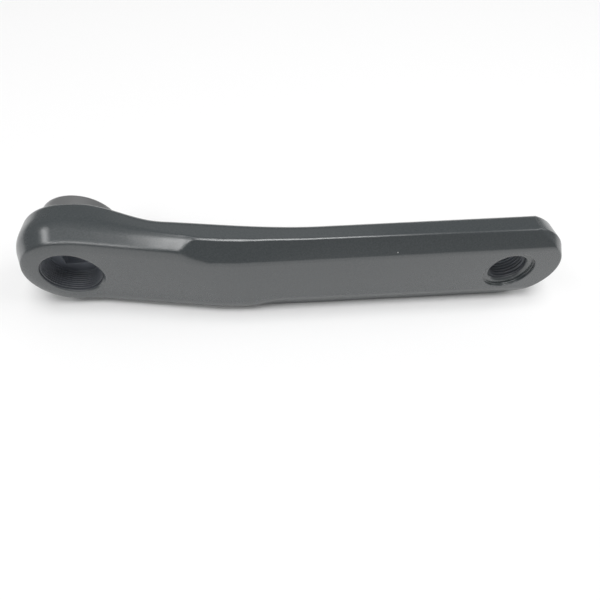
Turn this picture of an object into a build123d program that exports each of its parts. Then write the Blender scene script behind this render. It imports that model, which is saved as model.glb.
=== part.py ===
from build123d import *
from math import radians, tan
import os

# Frame: X runs from the spindle axis to the pedal axis, Y runs inboard, Z is up
# The origin is on the spindle axis in the plane of the outer face, in millimetres

# Lengths along the arm
CRANK_LENGTH = 170.0
EYE_BEND_RUN = 10.0
ARM_BEND_START = 48.0
ARM_BEND_RUN = 20.0
NECK_END = 65.0
HUB_DROP_START = 4.0
HUB_DROP_END = 37.0
WEB_DROP_START = 10.0
WEB_DROP_END = 95.0
CREST_DROP_START = 4.0
CREST_DROP_END = 46.0
RIDGE_DROP_END = 95.0
UPPER_BEVEL_START = 43.0
UPPER_BEVEL_RUN = 11.5
UPPER_RIDGE_RUN = 6.5
LOWER_BEVEL_START = 67.0
LOWER_BEVEL_RUN = 15.0
LOWER_RIDGE_RUN = 9.0

# Offsets of the back measured along Y, and slopes of the outer face and the back
EYE_THICKNESS = 18.5
HUB_DROP = 8.5
WEB_DROP = 8.5
NECK_LEAN = 0.176
FACE_LEAN = 0.0185
BACK_LEAN = 0.006

# Half widths, measured from the centre plane of the arm
EYE_FACE_HALF = 15.0
NECK_FACE_HALF = 14.2
ARM_FACE_HALF = 11.3
PEDAL_FACE_HALF = 12.5
RIDGE_HALF = 20.1
CREST_HALF = 20.4
BACK_HALF = 19.6

# Depths of the crest below the outer face, and of the ridge above the crest
EYE_CREST_DEPTH = 8.4
NECK_CREST_DEPTH = 5.2
ARM_CREST_DEPTH = 3.6
NECK_RIDGE_BAND = 1.1
ARM_RIDGE_BAND = 0.5

# Pedal end: the wall runs round the pedal axis, the face has a smaller circle set further out
END_WALL_RADIUS = 21.0
END_FACE_RADIUS = 15.6
END_FACE_OFFSET = 4.5
END_EDGE_BREAK = 0.5
END_BACK_ROUND = 2.5
END_BACK_RISE = 0.1

# Edges
FACE_EDGE_BREAK = 2.2
FACE_EDGE_DEPTH = 0.65
FACE_EDGE_ROUND = 12.0
BEVEL_EDGE_ROUND = 5.0
EYE_CREST_ROUND = 12.0
ARM_CREST_ROUND = 1.4
EYE_BACK_ROUND = 2.2
ARM_BACK_ROUND = 3.5
SHARP = [0.0]

# Boss around the spindle socket
BOSS_REACH = 27.7
BOSS_END_RADIUS = 15.0
BOSS_DRAFT = 3.0
BOSS_ROOT_FLARE = 1.4
BOSS_EDGE_BREAK = 0.8

# Puller thread, bolt seat and square spindle socket
PULLER_RADIUS = 11.0
PULLER_DEPTH = 10.5
PULLER_MOUTH = 0.3
SOCKET_MOUTH_FLATS = 13.2
SOCKET_TAPER = 2.0

# Pedal thread with its spotface
PEDAL_RADIUS = 7.14
SPOT_RADIUS = 10.0
SPOT_DEPTH = 1.15
PEDAL_MOUTH = 0.8

# Sections of the neck's loft, closer together where the upper bevel starts
SECTION_STEP = 4.0
BEVEL_STEP = 2.0
LOFT_RUNOUT = 4.0
CUT_MARGIN = 5.0


def blend(x, start, end):
    t = min(max((x - start) / (end - start), 0.0), 1.0)
    return t * t * (3.0 - 2.0 * t)


def mix(a, b, share):
    return a + (b - a) * share


def bend(x, start, run):
    along = min(max(x - start, 0.0), run)
    return along * along / (2.0 * run) + max(x - start - run, 0.0)


def face_y(x):
    turned_out = NECK_LEAN * bend(x, 0.0, EYE_BEND_RUN)
    turned_back = (NECK_LEAN - FACE_LEAN) * bend(x, ARM_BEND_START, ARM_BEND_RUN)
    return turned_back - turned_out


def back_y(x):
    drop = HUB_DROP * blend(x, HUB_DROP_START, HUB_DROP_END)
    drop += WEB_DROP * blend(x, WEB_DROP_START, WEB_DROP_END)
    return EYE_THICKNESS - drop - BACK_LEAN * max(0.0, x - WEB_DROP_END)


def crest_depth(x):
    depth = mix(EYE_CREST_DEPTH, NECK_CREST_DEPTH, blend(x, CREST_DROP_START, CREST_DROP_END))
    return depth - (NECK_CREST_DEPTH - ARM_CREST_DEPTH) * blend(x, CREST_DROP_END, RIDGE_DROP_END)


def ridge_depth(x):
    return crest_depth(x) - mix(NECK_RIDGE_BAND, ARM_RIDGE_BAND, blend(x, CREST_DROP_END, RIDGE_DROP_END))


def flank(x, bevel_start, bevel_run, ridge_run):
    narrowed = blend(x, bevel_start, bevel_start + bevel_run)
    lowered = blend(x, bevel_start, bevel_start + ridge_run)
    y = face_y(x)
    edge = mix(EYE_FACE_HALF, NECK_FACE_HALF, blend(x, 0.0, NECK_END))
    narrow = mix(ARM_FACE_HALF, PEDAL_FACE_HALF, (x - NECK_END) / (CRANK_LENGTH - NECK_END))
    ridge_y = y + mix(FACE_EDGE_DEPTH, ridge_depth(x), lowered)
    ridge_half = mix(edge + FACE_EDGE_BREAK, RIDGE_HALF, lowered)
    points = [(y, mix(edge, narrow, narrowed)), (ridge_y, ridge_half)]
    points += [(y + crest_depth(x), CREST_HALF), (back_y(x), BACK_HALF)]
    crest_round = mix(EYE_CREST_ROUND, ARM_CREST_ROUND, blend(x, CREST_DROP_START, CREST_DROP_END))
    back_round = mix(EYE_BACK_ROUND, ARM_BACK_ROUND, blend(x, HUB_DROP_START, HUB_DROP_END))
    return points, [mix(FACE_EDGE_ROUND, BEVEL_EDGE_ROUND, narrowed)] + SHARP + [crest_round, back_round]


def upper_flank(x):
    return flank(x, UPPER_BEVEL_START, UPPER_BEVEL_RUN, UPPER_RIDGE_RUN)


def lower_flank(x):
    return flank(x, LOWER_BEVEL_START, LOWER_BEVEL_RUN, LOWER_RIDGE_RUN)


def section(x):
    upper, upper_rounds = upper_flank(x)
    lower, lower_rounds = lower_flank(x)
    points = [(x, y, half) for y, half in upper]
    points += [(x, y, -half) for y, half in reversed(lower)]
    rounds = upper_rounds + lower_rounds[::-1]
    return make_face(FilletPolyline(*points, radius=rounds, close=True))


def section_step(x):
    if UPPER_BEVEL_START <= x < UPPER_BEVEL_START + UPPER_BEVEL_RUN:
        return BEVEL_STEP
    return SECTION_STEP


def neck_stations():
    found = [-2.0 * LOFT_RUNOUT, -LOFT_RUNOUT, 0.0]
    while found[-1] + section_step(found[-1]) < WEB_DROP_END:
        found.append(found[-1] + section_step(found[-1]))
    return found + [WEB_DROP_END]


def arm():
    neck = loft([section(x) for x in neck_stations()])
    end = CRANK_LENGTH + END_WALL_RADIUS + CUT_MARGIN
    straight = loft([section(WEB_DROP_END), section(end)], ruled=True)
    return split(neck + straight, bisect_by=Plane.YZ, keep=Keep.TOP)


def eye():
    points, rounds = upper_flank(0.0)
    outline = [(0.0, y, half) for y, half in points]
    outline += [(0.0, back_y(0.0), 0.0), (0.0, face_y(0.0), 0.0)]
    half_section = make_face(FilletPolyline(*outline, radius=rounds + SHARP * 2, close=True))
    return revolve(half_section, axis=Axis((0, 0, 0), (0, -1, 0)), revolution_arc=180)


def spun(outline, rounds, axis_x):
    profile = make_face(FilletPolyline(*outline, radius=rounds, close=True))
    return Pos(axis_x, 0, 0) * revolve(profile, axis=Axis.Y)


def level_circle(y, centre_x, radius):
    return Plane(origin=(centre_x, y, 0), x_dir=(1, 0, 0), z_dir=(0, -1, 0)) * Circle(radius)


def end_front(face, crest):
    share = END_EDGE_BREAK / (crest - face)
    radius = mix(END_FACE_RADIUS, END_WALL_RADIUS, share)
    centre = CRANK_LENGTH + mix(END_FACE_OFFSET, 0.0, share)
    front = level_circle(face - CUT_MARGIN, centre, radius - END_EDGE_BREAK - CUT_MARGIN)
    broken = level_circle(face + END_EDGE_BREAK, centre, radius)
    wall = level_circle(crest, CRANK_LENGTH, END_WALL_RADIUS)
    return loft([front, broken, wall], ruled=True)


def end_wall(crest):
    back = back_y(CRANK_LENGTH) + END_BACK_RISE
    back_radius = END_WALL_RADIUS - (CREST_HALF - BACK_HALF)
    outline = [(0.0, crest), (END_WALL_RADIUS, crest), (back_radius, back), (0.0, back)]
    return spun(outline, SHARP * 2 + [END_BACK_ROUND] + SHARP, CRANK_LENGTH)


def pedal_end():
    face = face_y(CRANK_LENGTH + END_WALL_RADIUS)
    crest = face_y(CRANK_LENGTH) + crest_depth(CRANK_LENGTH)
    tip = end_front(face, crest) + end_wall(crest)
    width = 2.0 * (CREST_HALF + CUT_MARGIN)
    depth = 2.0 * (BOSS_REACH + CUT_MARGIN)
    span = CRANK_LENGTH + CUT_MARGIN
    return tip + Pos(CRANK_LENGTH - span / 2.0, 0, 0) * Box(span, depth, width)


def boss():
    root = EYE_THICKNESS - HUB_DROP
    root_radius = BOSS_END_RADIUS + (BOSS_REACH - root) * tan(radians(BOSS_DRAFT))
    outline = [(0.0, root), (root_radius, root), (BOSS_END_RADIUS, BOSS_REACH - BOSS_EDGE_BREAK)]
    outline += [(BOSS_END_RADIUS - BOSS_EDGE_BREAK, BOSS_REACH), (0.0, BOSS_REACH)]
    return spun(outline, SHARP * len(outline), 0.0)


def puller_bore():
    outer = PULLER_RADIUS + PULLER_MOUTH + CUT_MARGIN
    outline = [(0.0, -CUT_MARGIN), (outer, -CUT_MARGIN), (PULLER_RADIUS, PULLER_MOUTH)]
    outline += [(PULLER_RADIUS, PULLER_DEPTH), (0.0, PULLER_DEPTH)]
    return spun(outline, SHARP * len(outline), 0.0)


def spindle_socket():
    mouth = Plane(origin=(0, BOSS_REACH, 0), x_dir=(1, 0, 0), z_dir=(0, -1, 0))
    square = mouth * Rectangle(SOCKET_MOUTH_FLATS, SOCKET_MOUTH_FLATS)
    return extrude(square, amount=BOSS_REACH - PULLER_DEPTH, taper=SOCKET_TAPER)


def pedal_bore():
    face = face_y(CRANK_LENGTH)
    seat = face + SPOT_DEPTH
    back = back_y(CRANK_LENGTH)
    mouth = PEDAL_RADIUS + PEDAL_MOUTH
    outline = [(0.0, face - CUT_MARGIN), (SPOT_RADIUS, face - CUT_MARGIN), (SPOT_RADIUS, seat)]
    outline += [(mouth, seat), (PEDAL_RADIUS, seat + PEDAL_MOUTH)]
    outline += [(PEDAL_RADIUS, back - PEDAL_MOUTH), (mouth + CUT_MARGIN, back + CUT_MARGIN)]
    outline += [(0.0, back + CUT_MARGIN)]
    return spun(outline, SHARP * len(outline), CRANK_LENGTH)


def crank_arm():
    forging = (arm() & pedal_end()) + eye()
    hub = boss()
    joined = forging + hub
    joined = chamfer(new_edges(forging, hub, combined=joined), BOSS_ROOT_FLARE)
    return joined - puller_bore() - spindle_socket() - pedal_bore()


os.makedirs("parts", exist_ok=True)
part = crank_arm()
part.label = "crank_arm"
export_step(part, "parts/crank_arm.step")
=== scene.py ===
from math import cos, radians, sin, tau

import bpy
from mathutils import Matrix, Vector


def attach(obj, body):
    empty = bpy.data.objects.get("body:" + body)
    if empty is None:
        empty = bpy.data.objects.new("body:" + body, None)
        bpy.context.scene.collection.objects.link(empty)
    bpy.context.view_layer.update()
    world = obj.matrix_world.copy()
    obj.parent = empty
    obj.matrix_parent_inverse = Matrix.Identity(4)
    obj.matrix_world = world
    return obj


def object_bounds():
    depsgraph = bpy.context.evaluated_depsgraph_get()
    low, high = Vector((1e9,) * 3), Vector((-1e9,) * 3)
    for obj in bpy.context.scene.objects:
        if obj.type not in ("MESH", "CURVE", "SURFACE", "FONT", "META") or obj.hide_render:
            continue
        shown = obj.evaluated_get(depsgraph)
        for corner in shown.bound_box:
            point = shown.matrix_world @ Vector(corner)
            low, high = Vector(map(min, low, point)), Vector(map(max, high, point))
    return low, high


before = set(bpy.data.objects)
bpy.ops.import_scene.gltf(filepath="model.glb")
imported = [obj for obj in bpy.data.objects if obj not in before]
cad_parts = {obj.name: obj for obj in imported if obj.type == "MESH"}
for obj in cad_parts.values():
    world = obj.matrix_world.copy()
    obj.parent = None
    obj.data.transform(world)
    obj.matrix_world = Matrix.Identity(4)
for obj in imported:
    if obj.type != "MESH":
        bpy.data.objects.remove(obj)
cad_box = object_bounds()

MM = 0.001
BODY = "root"

# Sizes shared with the forging, in millimetres
CRANK_LENGTH = 170.0
PULLER_RADIUS = 11.0
PULLER_WALL = (0.3, 10.5)
PEDAL_RADIUS = 7.14
PEDAL_WALL = (-9.45, 0.25)
BOSS_START = 19.2
BOSS_END = 27.7

# Threads: pitch in millimetres, and the hand that each one turns
PULLER_PITCH = 1.0
PEDAL_PITCH = 1.27
RIGHT_HAND = 1
LEFT_HAND = -1

# Section of a thread ridge, in shares of its pitch
RIDGE_HEIGHT = 0.54
ROOT_HALF = 0.46
CREST_HALF = 0.08
ROOT_SINK = 0.02        # millimetres that the root lies inside the wall

# Run of a thread ridge: it rises at one end and fades at the other
STEPS_PER_TURN = 72
FADE_TURNS = 0.5
LEAST_HEIGHT = 0.02     # share of the height that is left at the very ends

# Faces that meet at more than this angle, in degrees, keep a sharp edge
SHARP_ANGLE = 30.0

# Where one finish meets the next, in millimetres
HOLE_MARGIN = 0.1
RIM_MARGIN = 0.4
END_FACE_MARGIN = 0.05

# Soft break of the coat over the edges, in millimetres, wider around the eye
EDGE_BREAK = 0.8
EYE_BREAK = 2.0
EYE_BREAK_START = 14.5  # from the spindle axis
EYE_BREAK_END = 48.0    # along the arm
BREAK_SAMPLES = 8

# Chips in the coat, in millimetres: place and reach of each, and how ragged they are
CHIPS = [((122.2, -9.8, 13.8), 0.52), ((152.6, -7.2, 20.1), 0.48)]
CHIP_RAGGED = 0.6

# Grain of the coat: fine specks, the peel of the paint and broad clouds
SPECK_SCALE = 1800.0
PEEL_SCALE = 750.0
CLOUD_SCALE = 60.0
NOISE_DETAIL = 2.0
SPECK_SHARE = 0.4
PEEL_SHARE = 0.6
GRAIN_STRENGTH = 0.22
GRAIN_HEIGHT = 0.05     # millimetres
FACE_GRAIN = 0.25       # share of the grain that the smooth outer face keeps
FACE_TILT = -0.7        # a normal that points further outboard is on that face

# Colours
COAT_STOPS = [(0.3, (0.039, 0.047, 0.050, 1.0)), (0.7, (0.052, 0.060, 0.064, 1.0))]
TURNED_METAL = (0.138, 0.140, 0.142, 1.0)
# Hole tones: dark at the mouth, lighter deep in the hole, where the lighter metal is partly bare
# metal and partly painted light that lifts the shade inside
HOLE_MOUTH_TONE = (0.042, 0.047, 0.056, 1.0)
DEEP_HOLE_METAL_AND_PAINTED_LIGHT = (0.23, 0.25, 0.29, 1.0)
CHIPPED_METAL = (0.42, 0.43, 0.43, 1.0)
PAPER_WHITE = (0.93, 0.93, 0.93, 1.0)
ROOM_GREY = (0.24, 0.24, 0.24, 1.0)

# Gloss of the coat: roughness, what each mark adds to it, and how strongly it reflects
COAT_ROUGHNESS = 0.19
CLOUD_ROUGHNESS = 0.05
SPECK_ROUGHNESS = 0.04
HOLE_ROUGHNESS = 0.25
TURNED_ROUGHNESS = 0.08
COAT_IOR = 1.55
COAT_SPECULAR = 0.94

# Paper floor, in metres: it ends just in front of the picture
FLOOR_REACH = 2.0
FLOOR_FRONT = -0.13

# Lamps: name, place and size in metres, and power in watts
LIGHT_AIM = (0.085, 0.0, 0.0)
SOFT_BOXES = [
    ("overhead_box", (0.085, -0.10, 1.40), (0.8, 0.8), 12.7),
    ("left_strip", (-0.761, -0.308, 1.072), (1.1, 0.24), 3.5),
    ("front_left_box", (-0.525, -0.780, 0.990), (0.24, 0.24), 0.72),
    ("right_box", (1.157, 0.0, 0.90), (0.8, 0.8), 4.6),
    ("back_box", (0.085, 1.072, 0.90), (0.8, 0.6), 0.4),
]

# Camera: place in metres, turn in degrees, sensor and lens in millimetres
CAMERA_PLACE = (0.07107, -0.11353, 0.14357)
CAMERA_TURN = (33.737, -1.922, -5.860)
SENSOR_WIDTH = 36.0
FOCAL_LENGTH = 27.685
NEAR_LIMIT = 0.01       # metres


class Value:
    """A shader socket that takes part in Python sums."""

    def __init__(self, finish, socket):
        self.finish = finish
        self.socket = socket

    def math(self, operation, *others):
        return self.finish.math(operation, self, *others)

    def __add__(self, other):
        return self.math("ADD", other)

    __radd__ = __add__

    def __sub__(self, other):
        return self.math("SUBTRACT", other)

    def __rsub__(self, other):
        return self.finish.math("SUBTRACT", other, self)

    def __mul__(self, other):
        return self.math("MULTIPLY", other)

    __rmul__ = __mul__

    def __lt__(self, other):
        return self.math("LESS_THAN", other)

    def __gt__(self, other):
        return self.math("GREATER_THAN", other)


class Finish:
    """A node material, with one method that adds any node."""

    def __init__(self, name):
        self.material = bpy.data.materials.new(name)
        self.material.use_nodes = True
        self.tree = self.material.node_tree
        self.tree.nodes.clear()

    def node(self, kind, settings=None, sockets=None):
        """Add a node, set it up, join its inputs and return its outputs by name."""
        made = self.tree.nodes.new(kind)
        for name, value in (settings or {}).items():
            if name == "stops":
                self.set_stops(made.color_ramp, value)
            else:
                setattr(made, name, value)
        for name, value in (sockets or {}).items():
            socket = made.inputs[name] if isinstance(name, int) else self.find(made, name)
            if isinstance(value, Value):
                self.tree.links.new(value.socket, socket)
            else:
                socket.default_value = value
        return {out.name: Value(self, out) for out in made.outputs if out.enabled}

    def find(self, made, name):
        return next(socket for socket in made.inputs if socket.name == name and socket.enabled)

    def set_stops(self, ramp, stops):
        while len(ramp.elements) < len(stops):
            ramp.elements.new(1.0)
        for element, (place, colour) in zip(ramp.elements, stops):
            element.position = place
            element.color = colour

    def math(self, operation, *terms):
        settings = {"operation": operation}
        return self.node("ShaderNodeMath", settings, dict(enumerate(terms)))["Value"]

    def vector(self, operation, *terms):
        settings = {"operation": operation}
        return self.node("ShaderNodeVectorMath", settings, dict(enumerate(terms)))

    def noise(self, place, scale):
        sockets = {"Vector": place, "Scale": scale, "Detail": NOISE_DETAIL}
        return self.node("ShaderNodeTexNoise", None, sockets)["Fac"]

    def mix(self, share, first, second, kind="RGBA"):
        sockets = {"Factor": share, "A": first, "B": second}
        return self.node("ShaderNodeMix", {"data_type": kind}, sockets)["Result"]

    def broken_edge(self, reach):
        """The normal, turned as if the edges were rounded over this reach."""
        sockets = {"Radius": reach * MM}
        return self.node("ShaderNodeBevel", {"samples": BREAK_SAMPLES}, sockets)["Normal"]

    def beside_axis(self, place, axis_x):
        """The way out from a hole's axis to a place, square to that axis."""
        beside = self.vector("SUBTRACT", place, (axis_x * MM, 0.0, 0.0))["Vector"]
        return self.vector("MULTIPLY", beside, (1.0, 0.0, 1.0))["Vector"]

    def from_axis(self, place, axis_x):
        return self.vector("LENGTH", self.beside_axis(place, axis_x))["Value"]

    def round_normal(self, place, normal):
        """The normal of the round eye, aimed straight away from the spindle axis."""
        out = self.vector("NORMALIZE", self.beside_axis(place, 0.0))["Vector"]
        reach = self.vector("DOT_PRODUCT", normal, out)["Value"]
        sockets = {"Vector": out, "Scale": reach}
        aimed = self.node("ShaderNodeVectorMath", {"operation": "SCALE"}, sockets)["Vector"]
        along = self.vector("MULTIPLY", normal, (0.0, 1.0, 0.0))["Vector"]
        return self.vector("NORMALIZE", self.vector("ADD", aimed, along)["Vector"])["Vector"]

    def surface(self, shader):
        self.node("ShaderNodeOutputMaterial", None, {"Surface": shader})
        return self.material


def satin_black():
    """The coat, with the turned boss, the cut holes and the chips bare; the holes get lighter
    further in, which is painted light against the shade inside them.
    """
    finish = Finish("satin_black_coat")
    place = finish.node("ShaderNodeTexCoord")["Object"]
    axes = finish.node("ShaderNodeSeparateXYZ", None, {"Vector": place})
    from_spindle = finish.from_axis(place, 0.0)
    from_pedal = finish.from_axis(place, CRANK_LENGTH)
    speck = finish.noise(place, SPECK_SCALE)
    peel = finish.noise(place, PEEL_SCALE)
    cloud = finish.noise(place, CLOUD_SCALE)

    # Where each finish lies
    inside_end = axes["Y"] < (BOSS_END - END_FACE_MARGIN) * MM
    in_socket = (from_spindle < (PULLER_RADIUS + HOLE_MARGIN) * MM) * inside_end
    in_pedal_hole = from_pedal < (PEDAL_RADIUS + HOLE_MARGIN) * MM
    bored = in_socket.math("MAXIMUM", in_pedal_hole)
    turned = (1 - bored) * (axes["Y"] > BOSS_START * MM)

    # Tone: the holes are dark at the mouth and lighter further in; the lighter tone deep in the
    # holes is painted light that lifts the shade there
    coated = finish.node("ShaderNodeValToRGB", {"stops": COAT_STOPS}, {"Fac": speck})["Color"]
    # Share of the way into the hole: the painted light in the hole rises with it
    depth = axes["Y"] - in_pedal_hole * PEDAL_WALL[0] * MM
    clear = depth * (1 / (PULLER_WALL[1] * MM))
    hole_tone_with_painted_light = finish.mix(clear, HOLE_MOUTH_TONE, DEEP_HOLE_METAL_AND_PAINTED_LIGHT)
    tone = finish.mix(turned, coated, TURNED_METAL)
    tone = finish.mix(bored, tone, hole_tone_with_painted_light)
    for spot, reach in CHIPS:
        away = finish.vector("DISTANCE", place, [along * MM for along in spot])["Value"]
        chipped = away + speck * CHIP_RAGGED * MM < reach * MM
        tone = finish.mix(chipped, tone, CHIPPED_METAL)
    rough = (COAT_ROUGHNESS + cloud * CLOUD_ROUGHNESS + speck * SPECK_ROUGHNESS
             + bored * HOLE_ROUGHNESS + turned * TURNED_ROUGHNESS)

    # Edges, then the grain over them
    by_eye = (axes["X"] < EYE_BREAK_END * MM) * (from_spindle > EYE_BREAK_START * MM)
    on_eye = (axes["X"] < 0.0) * (from_spindle > (PULLER_RADIUS + RIM_MARGIN) * MM)
    edge = finish.broken_edge(EDGE_BREAK)
    edge = finish.mix(by_eye, edge, finish.broken_edge(EYE_BREAK), "VECTOR")
    edge = finish.mix(on_eye, edge, finish.round_normal(place, edge), "VECTOR")
    normal = finish.node("ShaderNodeNewGeometry")["Normal"]
    facing = finish.node("ShaderNodeSeparateXYZ", None, {"Vector": normal})["Y"]
    forged = FACE_GRAIN + (1 - FACE_GRAIN) * (facing > FACE_TILT)
    grain = finish.node("ShaderNodeBump", None, {
        "Strength": GRAIN_STRENGTH,
        "Distance": GRAIN_HEIGHT * MM,
        "Height": (speck * SPECK_SHARE + peel * PEEL_SHARE) * forged,
        "Normal": edge,
    })["Normal"]

    return finish.surface(finish.node("ShaderNodeBsdfPrincipled", None, {
        "Base Color": tone,
        "Roughness": rough,
        "Normal": grain,
        "IOR": COAT_IOR,
        "Specular IOR Level": COAT_SPECULAR,
    })["BSDF"])


def white_paper():
    finish = Finish("white_paper")
    paper = finish.node("ShaderNodeBsdfDiffuse", None, {"Color": PAPER_WHITE})
    return finish.surface(paper["BSDF"])


def mesh_object(name, points, faces, material):
    """A smoothly shaded mesh with one material, added to the scene."""
    mesh = bpy.data.meshes.new(name)
    mesh.from_pydata(points, [], faces)
    mesh.validate()
    mesh.shade_smooth()
    mesh.set_sharp_from_angle(angle=radians(SHARP_ANGLE))
    mesh.materials.append(material)
    made = bpy.data.objects.new(name, mesh)
    bpy.context.scene.collection.objects.link(made)
    return made


def thread_ridge(name, axis_x, radius, wall, pitch, hand, material):
    """A helical ridge on the wall of a hole, fading out at both ends."""
    turns = (wall[1] - wall[0] - pitch) / pitch
    steps = int(turns * STEPS_PER_TURN)
    root = radius + ROOT_SINK
    points, faces = [], []
    for i in range(steps + 1):
        turn = i / STEPS_PER_TURN
        angle = hand * turn * tau
        along = wall[0] + pitch * (0.5 + turn)
        fade = min(1.0, turn / FADE_TURNS, (turns - turn) / FADE_TURNS)
        crest = radius - pitch * RIDGE_HEIGHT * max(fade, LEAST_HEIGHT)
        section = [(-ROOT_HALF, root), (-CREST_HALF, crest), (CREST_HALF, crest), (ROOT_HALF, root)]
        corners = len(section)
        for offset, reach in section:
            points.append(((axis_x + reach * cos(angle)) * MM,
                           (along + offset * pitch) * MM,
                           reach * sin(angle) * MM))
        if i:
            this = corners * i
            last = this - corners
            for k in range(corners):
                after = (k + 1) % corners
                faces.append((last + k, last + after, this + after, this + k))
    faces += [tuple(-k % corners for k in range(corners)),
              tuple(corners * steps + k for k in range(corners))]
    if hand == RIGHT_HAND:
        faces = [face[::-1] for face in faces]
    ridge = mesh_object(name, points, faces, material)
    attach(ridge, BODY)


def dress_arm():
    """Coat the forging and add its two threads."""
    coat = satin_black()
    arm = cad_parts["crank_arm"]
    arm.data.materials.clear()
    arm.data.materials.append(coat)
    thread_ridge("puller_thread_ridge", 0.0, PULLER_RADIUS, PULLER_WALL,
                 PULLER_PITCH, RIGHT_HAND, coat)
    thread_ridge("pedal_thread_ridge", CRANK_LENGTH, PEDAL_RADIUS, PEDAL_WALL,
                 PEDAL_PITCH, LEFT_HAND, coat)


def lay_floor():
    """White paper under the arm."""
    ground = cad_box[0][2]
    corners = [(-FLOOR_REACH, FLOOR_FRONT, ground), (FLOOR_REACH, FLOOR_FRONT, ground),
               (FLOOR_REACH, FLOOR_REACH, ground), (-FLOOR_REACH, FLOOR_REACH, ground)]
    floor = mesh_object("floor", corners, [(0, 1, 2, 3)], white_paper())


def soft_box(name, place, size, power):
    """A rectangular lamp that looks at the middle of the arm."""
    lamp = bpy.data.lights.new(name, "AREA")
    lamp.shape = "RECTANGLE"
    lamp.size, lamp.size_y = size
    lamp.energy = power
    made = bpy.data.objects.new(name, lamp)
    made.location = place
    made.rotation_euler = (Vector(LIGHT_AIM) - Vector(place)).to_track_quat("-Z", "Y").to_euler()
    bpy.context.scene.collection.objects.link(made)


def light_room():
    """Soft lamps in a dim grey room."""
    for name, place, size, power in SOFT_BOXES:
        soft_box(name, place, size, power)
    world = bpy.data.worlds.new("dim_room")
    world.use_nodes = True
    world.node_tree.nodes["Background"].inputs["Color"].default_value = ROOM_GREY
    bpy.context.scene.world = world
    bpy.context.scene.view_settings.view_transform = "Standard"


def place_camera():
    """The photograph's own point of view, fitted to the edges in it."""
    lens = bpy.data.cameras.new("camera")
    lens.sensor_width = SENSOR_WIDTH
    lens.lens = FOCAL_LENGTH
    lens.clip_start = NEAR_LIMIT
    camera = bpy.data.objects.new("camera", lens)
    camera.location = CAMERA_PLACE
    camera.rotation_euler = [radians(turn) for turn in CAMERA_TURN]
    bpy.context.scene.collection.objects.link(camera)
    bpy.context.scene.camera = camera


dress_arm()
lay_floor()
light_room()
place_camera()
